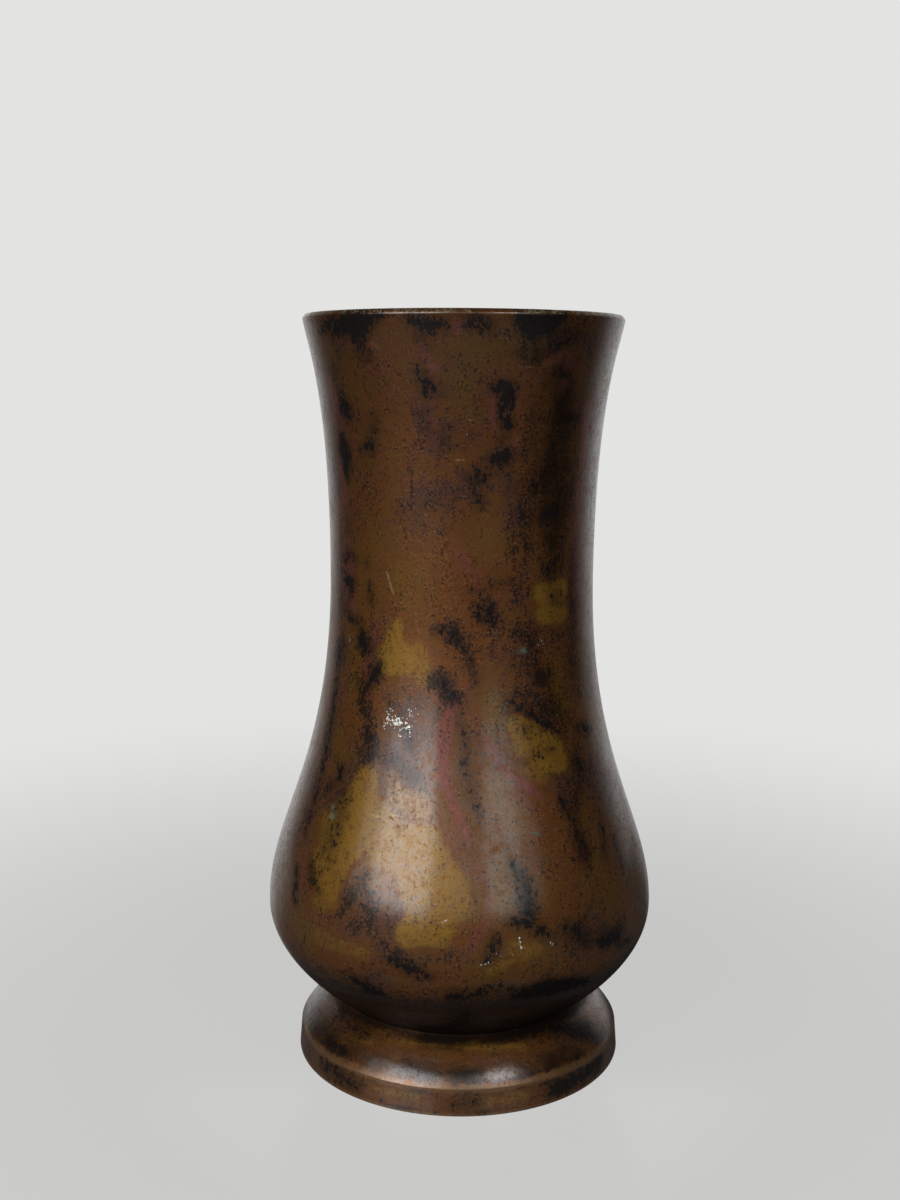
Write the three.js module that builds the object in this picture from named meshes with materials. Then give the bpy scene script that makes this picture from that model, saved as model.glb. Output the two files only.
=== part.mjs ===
// A bronze vase: a thin-walled casting with a trumpet neck, a low swelling belly, a tight
// waist and a spreading foot. A plate soldered into the foot from below closes it.
// Millimetres, +Z up. The origin is the centre of the face that the vase stands on.

import * as THREE from "three";

// Heights of the outside, stacked from the standing face up
const bandHeight = 8.7; // upright band of the foot, up to its ridge
const domeHeight = 11.9; // rounded top of the foot, from the ridge to the waist
const bellyRise = 31.9; // from the waist to the widest ring of the belly
const shoulderRise = 110; // from the belly to the throat, the neck's narrowest ring
const neckRise = 81.2; // from the throat to the widest ring of the lip
const lipBevelHeight = 1.3; // sloped edge on the outside of the lip

// Radii of the outside at those rings
const footRadius = 54.5;
const ridgeInset = 0.7; // how far the ridge lies inside the lower edge of the foot
const waistRadius = 41.7;
const bellyRadius = 64.2;
const throatRadius = 43;
const lipRadius = 51.4;
const lipBevelWidth = 1;
const footBevel = 0.4; // worn edge round the standing face

// How far each curve keeps the direction of its ring before it turns away
const ridgeLift = 7.5;
const ridgeLean = 4.6; // how far the foot's top leans in over ridgeLift
const waistDrop = 0.9;
const waistLift = 0.8;
const bellyDrop = 17.5;
const bellyLift = 27.6;
const throatDrop = 63.7;
const throatLift = 57;
const lipDrop = 9.6;
const lipFlare = 1.7; // how far the lip leans out over lipDrop

// The wall, and the rebate that is turned inside the foot for the plate
const wall = 2.8;
const innerLipBevel = 0.4;
const standingWidth = 3.2; // the flat ring that the vase stands on, with its bevel
const seatWidth = 2.4; // the ledge that the plate lies against

// The plate and its solder
const plateThickness = 2.6;
const solderLeg = 1.8; // side of the seam's three-cornered section
const solderHollow = 0.35; // how far the seam's face is drawn in
const solderGap = 0.3; // round the plate and round the seam, on every side
const solderRecess = 1; // from the standing face up to the seam

// Facets
const facetsAround = 64;
const domeSteps = 8;
const bellySteps = 9;
const shoulderSteps = 10;
const neckSteps = 7;
const seamSteps = 4;

const ridgeRadius = footRadius - ridgeInset;
const waistHeight = bandHeight + domeHeight;
const bellyHeight = waistHeight + bellyRise;
const throatHeight = bellyHeight + shoulderRise;
const lipHeight = throatHeight + neckRise;
const topHeight = lipHeight + lipBevelHeight;
const rebateRadius = footRadius - standingWidth;
const seatRadius = rebateRadius - seatWidth;
const plateUnderside = solderRecess + solderLeg + solderGap;
const plateTop = plateUnderside + plateThickness;
const seatHeight = plateTop + solderGap;

// A point of an outline: x is the radius and y is the height.
function at(radius, height) {
  return new THREE.Vector2(radius, height);
}

const dome = new THREE.CubicBezierCurve(
  at(ridgeRadius, bandHeight),
  at(ridgeRadius - ridgeLean, bandHeight + ridgeLift),
  at(waistRadius, waistHeight - waistDrop),
  at(waistRadius, waistHeight),
);
const belly = new THREE.CubicBezierCurve(
  at(waistRadius, waistHeight),
  at(waistRadius, waistHeight + waistLift),
  at(bellyRadius, bellyHeight - bellyDrop),
  at(bellyRadius, bellyHeight),
);
const shoulder = new THREE.CubicBezierCurve(
  at(bellyRadius, bellyHeight),
  at(bellyRadius, bellyHeight + bellyLift),
  at(throatRadius, throatHeight - throatDrop),
  at(throatRadius, throatHeight),
);
const neck = new THREE.CubicBezierCurve(
  at(throatRadius, throatHeight),
  at(throatRadius, throatHeight + throatLift),
  at(lipRadius - lipFlare, lipHeight - lipDrop),
  at(lipRadius, lipHeight),
);

// Points up a curve from its second one on, moved square to it towards the axis by depth.
function pointsUp(curve, steps, depth) {
  const points = [];
  for (let step = 1; step <= steps; step++) {
    const share = step / steps;
    const tangent = curve.getTangent(share);
    const inwards = at(-tangent.y, tangent.x).multiplyScalar(depth);
    points.push(curve.getPoint(share).add(inwards));
  }
  return points;
}

// A closed outline turned round the upright axis.
function turned(outline) {
  const geometry = new THREE.LatheGeometry([...outline, outline[0].clone()], facetsAround);
  geometry.rotateX(Math.PI / 2);
  return geometry;
}

// The casting: up the outside, over the lip, down the inside and out along the rebate.
function bodyOutline() {
  const outside = [
    at(footRadius - footBevel, 0),
    at(footRadius, footBevel),
    at(ridgeRadius, bandHeight),
    ...pointsUp(dome, domeSteps, 0),
    ...pointsUp(belly, bellySteps, 0),
    ...pointsUp(shoulder, shoulderSteps, 0),
    ...pointsUp(neck, neckSteps, 0),
  ];
  const insideFoot = pointsUp(dome, domeSteps, wall).filter(
    (point) => point.x < seatRadius && point.y > seatHeight,
  );
  const inside = [
    ...insideFoot,
    ...pointsUp(belly, bellySteps, wall),
    ...pointsUp(shoulder, shoulderSteps, wall),
    ...pointsUp(neck, neckSteps, wall),
  ];
  const innerLip = inside[inside.length - 1];
  const lip = [
    at(lipRadius - lipBevelWidth, topHeight),
    at(innerLip.x + innerLipBevel, topHeight),
  ];
  const rebate = [
    at(seatRadius, seatHeight),
    at(rebateRadius, seatHeight),
    at(rebateRadius, 0),
  ];
  return [...outside, ...lip, ...inside.reverse(), ...rebate];
}

function plateOutline() {
  const radius = rebateRadius - solderGap;
  return [
    at(0, plateUnderside),
    at(radius, plateUnderside),
    at(radius, plateTop),
    at(0, plateTop),
  ];
}

// The seam fills the corner between the plate and the rebate, with a hollow face.
function seamOutline() {
  const outer = rebateRadius - solderGap;
  const top = plateUnderside - solderGap;
  const face = new THREE.QuadraticBezierCurve(
    at(outer - solderLeg, top),
    at(outer - solderLeg / 2 + solderHollow, top - solderLeg / 2 + solderHollow),
    at(outer, top - solderLeg),
  );
  return [...face.getPoints(seamSteps), at(outer, top)];
}

const patina = new THREE.MeshStandardMaterial({
  color: 0x54391f,
  roughness: 0.34,
  metalness: 0.85,
});
const plateBronze = new THREE.MeshStandardMaterial({
  color: 0x4b3a26,
  roughness: 0.55,
  metalness: 0.8,
});
const solder = new THREE.MeshStandardMaterial({
  color: 0x77736a,
  roughness: 0.5,
  metalness: 0.9,
});

function piece(name, outline, material) {
  const mesh = new THREE.Mesh(turned(outline), material);
  mesh.name = name;
  return mesh;
}

const vase = new THREE.Group();
vase.add(
  piece("vase_body", bodyOutline(), patina),
  piece("base_plate", plateOutline(), plateBronze),
  piece("solder_seam", seamOutline(), solder),
);

export default vase;
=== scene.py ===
"""The looks of a cast bronze vase: its fine surface, its patina, its soldered plate and a studio."""

import math
import random

import bpy
import numpy as np
from bpy.props import FloatProperty, FloatVectorProperty, IntProperty, PointerProperty
from mathutils import Matrix, Vector
from mathutils.geometry import interpolate_bezier


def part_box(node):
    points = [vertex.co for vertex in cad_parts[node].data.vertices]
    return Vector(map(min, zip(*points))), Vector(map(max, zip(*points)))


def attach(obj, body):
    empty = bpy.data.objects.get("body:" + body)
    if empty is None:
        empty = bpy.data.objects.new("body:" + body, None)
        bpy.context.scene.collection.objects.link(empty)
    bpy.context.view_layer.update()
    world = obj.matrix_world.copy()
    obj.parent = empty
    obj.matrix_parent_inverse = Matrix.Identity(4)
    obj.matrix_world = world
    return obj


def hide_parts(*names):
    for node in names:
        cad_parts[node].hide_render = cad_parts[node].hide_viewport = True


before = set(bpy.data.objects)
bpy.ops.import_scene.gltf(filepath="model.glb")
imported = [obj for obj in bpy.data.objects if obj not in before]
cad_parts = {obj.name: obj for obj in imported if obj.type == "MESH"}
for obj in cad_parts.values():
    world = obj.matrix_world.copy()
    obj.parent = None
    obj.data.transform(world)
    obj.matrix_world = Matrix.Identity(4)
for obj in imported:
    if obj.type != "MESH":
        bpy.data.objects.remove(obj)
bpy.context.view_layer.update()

bl_info = {
    "name": "Patinated bronze vase",
    "version": (1, 0, 0),
    "blender": (4, 5, 0),
    "location": "3D View > Sidebar > Vase",
    "description": "Models and finishes a cast bronze vase round its packed solids",
    "category": "Object",
}

MM = 0.001
BODY_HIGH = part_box("vase_body")[1]
PLATE_LOW, PLATE_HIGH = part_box("base_plate")
SEAM_LOW, SEAM_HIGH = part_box("solder_seam")


def length(name, metres, description):
    return FloatProperty(name=name, description=description, default=metres, unit="LENGTH", min=0)


def share(name, value, description):
    return FloatProperty(name=name, description=description, default=value, subtype="FACTOR", min=0, max=1)


def colour(name, value, description):
    return FloatVectorProperty(
        name=name, description=description, default=value, subtype="COLOR", size=3, min=0, max=1
    )


class VaseSizes(bpy.types.PropertyGroup):
    """The sizes of the vase, those of its solids."""

    height: length("Height", BODY_HIGH.z, "From the standing face to the top of the lip")
    lip_height: length("Lip height", 243.7 * MM, "Height of the widest ring of the lip")
    throat_height: length("Throat height", 162.5 * MM, "Height of the neck's narrowest ring")
    belly_height: length("Belly height", 52.5 * MM, "Height of the widest ring")
    waist_height: length("Waist height", 20.6 * MM, "Height of the groove over the foot")
    ridge_height: length("Ridge height", 8.7 * MM, "Height of the foot's ridge")
    lip_radius: length("Lip radius", 51.4 * MM, "Radius of the widest ring of the lip")
    throat_radius: length("Throat radius", 43 * MM, "Radius of the neck's narrowest ring")
    belly_radius: length("Belly radius", BODY_HIGH.x, "Radius of the widest ring")
    waist_radius: length("Waist radius", 41.7 * MM, "Radius of the groove over the foot")
    ridge_radius: length("Ridge radius", 53.8 * MM, "Radius of the foot's ridge")
    foot_radius: length("Foot radius", 54.5 * MM, "Radius of the standing edge")
    wall: length("Wall", 2.8 * MM, "Thickness of the casting")
    lip_bevel: length("Lip bevel", 1 * MM, "Width of the slope on the outside of the lip")
    rebate_radius: length("Rebate radius", 51.3 * MM, "Inside radius of the rebate for the plate")
    seat_radius: length("Seat radius", 48.9 * MM, "Inside radius of the ledge over the plate")
    seat_height: length("Seat height", PLATE_HIGH.z + 0.3 * MM, "Height of the ledge over the plate")
    ring_spacing: length("Ring spacing", 1.1 * MM, "Height between the rings of the fine surface")
    steps_around: IntProperty(
        name="Steps around", description="Steps of the spin that makes the casting", default=312, min=32
    )


class VaseFinish(bpy.types.PropertyGroup):
    """The colours of the bronze and its solder, and how glossy the patina is."""

    umber: colour("Umber", (0.096, 0.0392, 0.0100), "The brown of the wall")
    chestnut: colour("Chestnut", (0.119, 0.0396, 0.0118), "The redder brown of the clouds in the wall")
    olive: colour("Olive", (0.106, 0.0520, 0.0080), "The greener brown of the clouds in the wall")
    plum: colour("Plum", (0.062, 0.0260, 0.0180), "The duller brown between the clouds")
    ochre: colour("Ochre", (0.182, 0.0950, 0.0140), "The large yellow patches")
    blue_black: colour("Blue-black", (0.0042, 0.0037, 0.0040), "The speckled blotches")
    violet: colour("Violet grey", (0.048, 0.028, 0.024), "The hazes between the patches")
    red: colour("Red", (0.135, 0.040, 0.031), "The streaks")
    verdigris: colour("Verdigris", (0.055, 0.100, 0.075), "The green specks")
    silver: colour("Silver", (0.62, 0.62, 0.58), "The pale specks")
    rubbed: colour("Rubbed bronze", (0.165, 0.092, 0.042), "The paler brown on the edges of the foot")
    worn: colour("Worn bronze", (0.340, 0.270, 0.150), "The bare metal on the lip")
    # This colour is dark patina, and also painted shade on the neck, at the waist, under the belly and in
    # the dark layer
    dark_patina_and_shade: colour("Soot", (0.0062, 0.0035, 0.0020), "The dark under the belly and inside")
    roughness: share("Roughness", 0.46, "Roughness of the wall under its wax")
    metallic: share("Metallic", 0.5, "How much the wall reflects as metal")
    wax: share("Wax", 0.95, "Weight of the wax over the patina")
    wax_roughness: share("Roughness of the wax", 0.19, "How dull the wax is")
    solder: colour("Solder", (0.26, 0.255, 0.24), "The grey of the solder")
    tarnish: colour("Tarnish", (0.13, 0.12, 0.105), "The darker bloom on the solder")


class Wire:
    """A socket that can stand in a Python expression, which adds Math nodes to its finish."""

    def __init__(self, finish, socket):
        self.finish = finish
        self.socket = socket

    def _math(self, operation, *values):
        return self.finish.node("ShaderNodeMath", {"operation": operation}, dict(enumerate(values)))

    def __add__(self, other):
        return self._math("ADD", self, other)

    def __radd__(self, other):
        return self._math("ADD", other, self)

    def __sub__(self, other):
        return self._math("SUBTRACT", self, other)

    def __rsub__(self, other):
        return self._math("SUBTRACT", other, self)

    def __mul__(self, other):
        return self._math("MULTIPLY", self, other)

    def __rmul__(self, other):
        return self._math("MULTIPLY", other, self)

    def __abs__(self):
        return self._math("ABSOLUTE", self)

    def most(self, other):
        return self._math("MAXIMUM", self, other)


class Finish:
    """The nodes of a material or of the world, added by expressions."""

    def __init__(self, owner, base=None, place="Object"):
        owner.use_nodes = True
        self.owner = owner
        self.base = base
        self.tree = owner.node_tree
        self.tree.nodes.clear()
        self.place = self.node("ShaderNodeTexCoord", output=place)

    def node(self, kind, settings=None, sockets=None, output=0):
        """Adds a node, and gives the wire from one of its outputs if it has any."""
        made = self.tree.nodes.new(kind)
        for name, value in (settings or {}).items():
            setattr(made, name, value)
        for name, value in (sockets or {}).items():
            if isinstance(value, Wire):
                self.tree.links.new(value.socket, made.inputs[name])
            else:
                made.inputs[name].default_value = value
        return Wire(self, made.outputs[output]) if made.outputs else None

    def noise(self, size, detail, roughness, stretch=(1, 1, 1), shift=0, distortion=0):
        """Soft noise round 0, mostly within a quarter of it, whose largest forms are size metres wide."""
        scale = [1 / factor for factor in stretch]
        moved = {"Vector": self.place, "Scale": scale, "Location": (shift, shift, shift)}
        sockets = {
            "Vector": self.node("ShaderNodeMapping", None, moved),
            "Scale": 1 / size,
            "Detail": detail,
            "Roughness": roughness,
            "Distortion": distortion,
        }
        return self.node("ShaderNodeTexNoise", None, sockets) - 0.5

    def step(self, value, low, high):
        """0 below low, 1 above high, and smooth between them."""
        sockets = {"Value": value, "From Min": low, "From Max": high}
        return self.node("ShaderNodeMapRange", {"interpolation_type": "SMOOTHSTEP"}, sockets)

    def field(self, name):
        return self.node("ShaderNodeAttribute", {"attribute_name": name}, output="Fac")

    def blend(self, factor, first, second):
        """The colour first where factor is 0, and second where it is 1."""
        first, second = (end if isinstance(end, Wire) else (*end, 1) for end in (first, second))
        # A Mix node's sockets share their names, and those of its colours are A 6, B 7 and Result 2
        sockets = {0: factor, 6: first, 7: second}
        return self.node("ShaderNodeMix", {"data_type": "RGBA"}, sockets, output=2)

    def bump(self, height, depth, under=None):
        """The normal of a relief that is depth metres deep where height is 1."""
        sockets = {"Height": height, "Distance": depth}
        if under:
            sockets["Normal"] = under
        return self.node("ShaderNodeBump", None, sockets)

    def cover(self, colour, mask):
        """Lays a colour over the base."""
        self.base = self.blend(mask, self.base, colour)

    def layer(self, colour, value, low, high, strength=1):
        """Covers the base where the value passes from low to high, and gives that mask."""
        mask = self.step(value, low, high)
        self.cover(colour, mask * strength)
        return mask

    def surface(self, sockets):
        """Finishes the material, whose colour is the base."""
        shader = self.node("ShaderNodeBsdfPrincipled", None, {"Base Color": self.base, **sockets})
        self.node("ShaderNodeOutputMaterial", None, {"Surface": shader})
        return self.owner


# The marks of the patina on the side that is seen. Each is how dense it is, then the rings of its
# stroke: (degrees to the right of the front, height in mm, radius in mm).
BLACK_MARKS = {
    "under lip, far left": (0.66, (-60, 240, 2.4), (-53, 240, 3.4), (-47, 240, 3.6)),
    "under lip, left": (0.98, (-44, 241, 3.4), (-38, 240, 4.6), (-33, 242, 2.2), (-28, 243, 1.2)),
    "tail under lip, left": (0.74, (-41, 237, 2.2), (-38, 234, 2.4), (-36, 231.5, 1.6)),
    "under lip, middle left": (0.76, (-17, 242, 2), (-13, 240, 3.4), (-8, 241, 2.2), (-6, 239, 0.8)),
    "speckle under it": (0.56, (-15, 237, 2.2), (-13, 234, 1.8)),
    "trail, left of middle": (0.6, (-17, 228, 1.6), (-15, 225, 2.8), (-12, 222, 4.2), (-9, 221, 1.6)),
    "end of trail": (0.44, (-13, 217, 2.4), (-14, 212, 2), (-10, 206, 2)),
    "under lip, middle": (0.78, (-1, 241, 1.6), (3, 241, 2.6), (7, 240.5, 2), (9, 240, 0.8)),
    "under lip, right": (1, (19, 241.5, 2.6), (22, 240, 4), (27, 241, 3.4), (34, 243.5, 1.4)),
    "speckle, upper right": (0.62, (32, 234, 2), (36, 236, 2.4), (41, 238, 2)),
    "web, upper right": (0.5, (31, 224, 2), (36, 228, 3), (42, 225, 2.4), (44, 232, 2)),
    "spot, upper right": (0.74, (19, 233, 1.3)),
    "chain, top": (0.98, (12.5, 222.5, 2.2), (16, 221.5, 2.8), (15, 217.5, 2.4)),
    "chain, second": (0.9, (14.5, 214, 1.6), (16, 212, 2.2)),
    "chain, link": (0.56, (15, 209, 1.8), (15, 206, 1.6)),
    "chain, third": (0.92, (12, 201.5, 1.8), (15, 202, 2.8), (17, 203.5, 1.6)),
    "chain, bridge": (0.52, (11.5, 203, 2.2), (8, 201, 1.6)),
    "chain, fourth": (0.72, (3.5, 196.5, 1.8), (7, 197, 3), (9.5, 198, 1.6)),
    "chain, last": (0.64, (6, 192, 1.2), (6.5, 189.5, 2.4)),
    "left neck, first": (0.86, (-53, 219, 1.6), (-52, 216, 3.4), (-50, 214, 1.8)),
    "left neck, link": (0.6, (-57, 213, 1.2), (-57, 210, 1.2)),
    "left neck, second": (0.94, (-56, 208, 1.4), (-55, 203, 3.6), (-54, 198, 2), (-54, 194, 0.8)),
    "left neck, upper spot": (0.6, (-37, 210, 2), (-35, 212.5, 1.8)),
    "left neck, lower spot": (0.66, (-43, 204, 1.8), (-39, 205, 2.8), (-37, 207, 1.4)),
    "left neck, low": (0.5, (-57, 184, 1.8), (-54, 180, 1.6)),
    "left edge, upper": (0.72, (-59, 169, 2), (-55, 171, 2.4), (-51, 170, 1.8)),
    "left, spot": (0.6, (-43, 169.5, 1.6)),
    "left edge, middle": (0.82, (-57, 163, 2.6), (-53, 162, 2.6), (-54, 158, 1.4)),
    "left, second spot": (0.62, (-41, 162, 1.6), (-41, 158, 1.4)),
    "left edge, chain": (0.8, (-56, 153, 1.6), (-52, 151, 1.8), (-47, 150.5, 1.6)),
    "left shoulder, spot": (0.98, (-45, 146, 2), (-43, 144, 2.6)),
    "left shoulder, slant": (0.86, (-34, 139, 1.2), (-37, 136, 2.6), (-40, 132, 2.2), (-43, 127, 0.8)),
    "left edge, stripe": (
        0.76,
        (-62, 140, 1.5), (-61.5, 122, 2), (-60, 106, 1.6), (-59, 96, 1.4), (-58.5, 82, 1),
    ),
    "left edge, end of stripe": (0.92, (-58, 72, 1), (-56.5, 67, 1.7), (-55, 62, 1)),
    "beside left belly patch": (0.76, (-47.5, 105, 1.5), (-49, 101, 1.2), (-53, 98, 1.8)),
    "in left belly patch": (0.42, (-44, 97, 4), (-45, 84, 5)),
    "under left belly patch": (0.58, (-51, 75, 1.2), (-48, 71, 1.3), (-45, 68.5, 1)),
    "middle, haze": (0.52, (7, 158, 2.4), (9, 156, 4.4), (12, 154, 3.4)),
    "middle, bar": (0.5, (3, 163, 1.2), (8, 162.5, 1.4), (13, 164.5, 1.9), (19, 165.5, 1.5)),
    "middle, violet spot": (0.48, (-9, 150, 2.6), (-4, 149, 3.2), (-1, 146, 2.4)),
    "middle, slant": (0.44, (0, 147, 1.6), (3, 141, 2), (5, 136, 1.8)),
    "middle, lower violet spot": (0.5, (-11, 135.5, 2.6), (-8, 135, 3.2), (-6, 133, 2)),
    "middle, beside it": (0.66, (-4, 131, 2), (-1, 129.5, 1.6)),
    "right of long streak": (0.44, (-1, 126, 1.8), (1, 117, 2.6), (1.5, 108, 2.6), (4, 99, 2.4)),
    "right neck": (0.72, (33, 184, 2), (37, 185, 3.2), (41, 186, 2)),
    "over square patch": (0.84, (36, 168, 2), (39, 166, 2)),
    "in square patch": (0.6, (38, 161, 1.4), (41, 159, 2.2), (44, 157, 1.6)),
    "right, under square patch": (0.66, (32, 134, 1.8), (35, 135, 3), (37, 137, 1.6)),
    "over oval patch, left": (0.76, (17, 129.5, 0.9), (21, 128, 1.6), (25, 126.5, 1.4)),
    "over oval patch, right": (
        0.84,
        (27, 124.5, 1.2), (31, 122.5, 2), (35, 120, 1.4), (40, 117.5, 0.8),
    ),
    "ring in oval patch": (0.52, (25, 120, 1.9)),
    "spots in oval patch": (0.52, (36, 113, 1.6), (24.5, 111.5, 1.3)),
    "right of oval patch": (0.88, (50, 117.5, 1.4), (54, 117, 1.9), (59, 116, 1.6)),
    "under it": (0.72, (45, 108.5, 1.8), (48, 107, 1.8)),
    "right shoulder, upper": (0.62, (36, 98, 1.5), (38, 94, 2), (40, 91, 1.8)),
    "right shoulder, lower": (0.66, (40, 86, 2.2), (42, 82, 2.2), (41, 78, 1.4)),
    "right shoulder, edge": (0.58, (50, 79, 1.9), (53, 90, 1.6)),
    "belly, stipple": (0.52, (15, 82, 1.8), (18, 76, 3.4), (19, 69, 4.4)),
    "belly, under stipple": (0.72, (14, 66, 2), (18, 65.5, 2.4), (22, 63, 2.6), (25, 60, 1.6)),
    "belly, smudge": (0.8, (9.5, 61.5, 1.5), (8.5, 58, 1.9), (7, 55, 1.2)),
    "belly, right": (0.6, (30, 62, 2.4), (34, 60, 3.4), (37, 56, 2)),
    "belly, far right": (0.94, (42, 54.5, 1.4), (46, 53.5, 2.6), (50, 54, 1.6)),
    "belly, right edge": (0.9, (51, 50, 1.2), (58, 49.5, 1.3)),
    "belly, bottom left": (0.88, (-19, 54, 0.8), (-15, 52.5, 2), (-11, 50.5, 2.2), (-8, 50, 1)),
    "under belly, left": (0.84, (-31, 45, 1.4), (-27, 42, 3), (-23, 40.5, 1.8)),
    "under belly, middle": (0.84, (-2, 43, 1.9), (3, 43, 2.4), (9, 46.5, 1.6), (14, 45.5, 1.6)),
    "under belly, right": (1, (17, 42.5, 2.4), (23, 43, 3.8), (31, 42.5, 3.2), (40, 41, 1.6)),
    "waist, middle": (0.9, (-14, 25, 2.2), (-6, 26, 3.4), (0, 30, 2.4), (2, 35, 1.6)),
    "waist, right": (1, (14, 30, 1.8), (24, 27, 3), (36, 25, 4.4), (58, 24, 4)),
    "foot, streaks over ridge": (0.42, (-36, 13, 1.4), (-20, 13.5, 1.6), (-4, 13, 1.8), (6, 13.2, 1.4)),
    "foot, left": (0.74, (-56, 11.5, 1.4), (-50, 11.5, 2.2), (-42, 12, 1.8)),
    "foot, upper left": (0.72, (-47, 17, 1.6), (-41, 17.5, 1.8)),
    "top of foot, middle": (0.86, (-13, 19.6, 1.4), (-5, 20, 2.2), (3, 19.8, 1.4)),
    "top of foot, right": (0.9, (16, 20, 1.6), (26, 19.6, 2), (36, 19.4, 2.2)),
    "foot, right": (0.8, (42, 19, 2.2), (50, 17, 2.6), (58, 14, 3.2)),
    "foot, right of ridge": (0.66, (34, 11.5, 1.4), (48, 11, 2)),
    "band of foot, left": (0.7, (-54, 5, 2.8), (-44, 4.5, 2.8), (-36, 3.5, 1.4)),
    "band of foot, middle": (0.46, (-2, 3.5, 1.8), (6, 4.5, 2.2)),
    "band of foot, right": (0.84, (33, 4, 2.6), (44, 5, 3.2), (58, 5, 3)),
}
OCHRE_MARKS = {
    "square patch, top": (1, (34, 161, 3.4), (45, 161.5, 3.4)),
    "square patch, bottom": (0.95, (35.5, 154.5, 3.6), (45.5, 154, 3.4)),
    "left patch, tip": (0.8, (-27, 152, 2.4), (-28, 147, 4.2)),
    "left patch": (0.9, (-33, 142, 3), (-29, 141, 6), (-24, 141, 5.4)),
    "left patch, faint side": (0.62, (-18, 144, 4), (-15, 136, 4)),
    "oval patch": (1, (21, 121.5, 3.6), (26, 117, 6.2), (32, 113, 7.4), (37.5, 109.5, 4.6)),
    "oval patch, faint foot": (0.6, (30, 106, 4), (24, 108, 3)),
    "belly patch, left": (
        0.9,
        (-35, 104, 4.6), (-36, 96, 7.4), (-40, 87, 10.4), (-43, 78, 8.4), (-41, 70, 4.6),
    ),
    "belly patch, lower left": (0.62, (-50, 90, 3), (-44, 66, 4), (-37, 66, 2)),
    "belly patch, joint": (0.76, (-31, 96, 6), (-25, 88, 9), (-19, 85, 8)),
    "belly patch, top": (0.62, (-22, 101, 5), (-14, 98, 5)),
    "belly patch, middle": (0.86, (-13, 87, 8), (-11, 81, 9.5), (-7, 74, 11)),
    "belly patch, bottom": (0.95, (-9, 66, 8.6), (-14, 62, 4.6)),
    "belly, under smudge": (0.66, (14, 58, 3.6), (21, 57, 3), (8, 52, 2.4)),
    "belly, lower left": (0.56, (-27, 54.5, 3.6), (-42, 55, 4)),
    "foot, middle": (
        0.74,
        (-30, 17.5, 1.6), (-20, 18, 2.2), (-6, 18.5, 2.2), (6, 18.5, 2.6), (14, 17.5, 2), (26, 17, 2.6),
    ),
    "foot, left": (0.74, (-60, 13.5, 1.8), (-48, 14.5, 1.2), (-36, 16, 1.6)),
    # On the band of the foot these two are painted reflection: paler patches where the band mirrors the
    # lit front
    "band of foot, left": (0.62, (-30, 5, 2.6), (-14, 5.5, 3)),
    "band of foot, right": (0.66, (10, 5, 3), (22, 5, 2.6)),
}
OLIVE_MARKS = {
    "left edge": (0.9, (-48, 160, 5), (-49, 142, 5.5), (-47, 131, 5)),
    "left edge, low": (1, (-52, 113, 4.6), (-50, 107, 5)),
    "right": (1, (41, 134, 4.6), (42, 127, 4.6)),
    "under chain": (1, (9, 181, 3.6), (12, 177, 5)),
    "upper left": (0.9, (-54, 233, 4.5), (-46, 231, 7), (-42, 222, 6)),
    "upper middle": (0.9, (3, 234, 3.6), (12, 234, 4.6), (18, 235, 3.6)),
    "middle": (0.9, (0, 222, 4.6), (3, 215, 4.4)),
    "middle left": (0.7, (-38, 199, 4.4), (-28, 204, 4)),
    "left, lower": (0.7, (-38, 180, 4.6), (-44, 172, 5)),
    "beside tick": (0.6, (-24, 166, 4), (-24, 158, 4)),
    "left of oval patch": (0.8, (11, 130, 3.4), (14, 124, 4.4)),
    "belly, lower left": (1, (-56, 60, 4), (-48, 53, 5)),
    "belly, lower right": (0.8, (6, 53, 4), (17, 55, 4.4), (29, 52, 5)),
    "belly, right": (0.7, (27, 74, 6.5), (30, 86, 5), (43, 66, 6.5), (46, 84, 5)),
    "left of shoulder": (0.9, (-54, 88, 4.2), (-54, 76, 3.6)),
    "belly, middle": (0.9, (4, 70, 4), (12, 78, 5), (16, 92, 5), (10, 104, 4)),
    "between belly patches": (0.9, (-26, 92, 5), (-25, 80, 4)),
}
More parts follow.
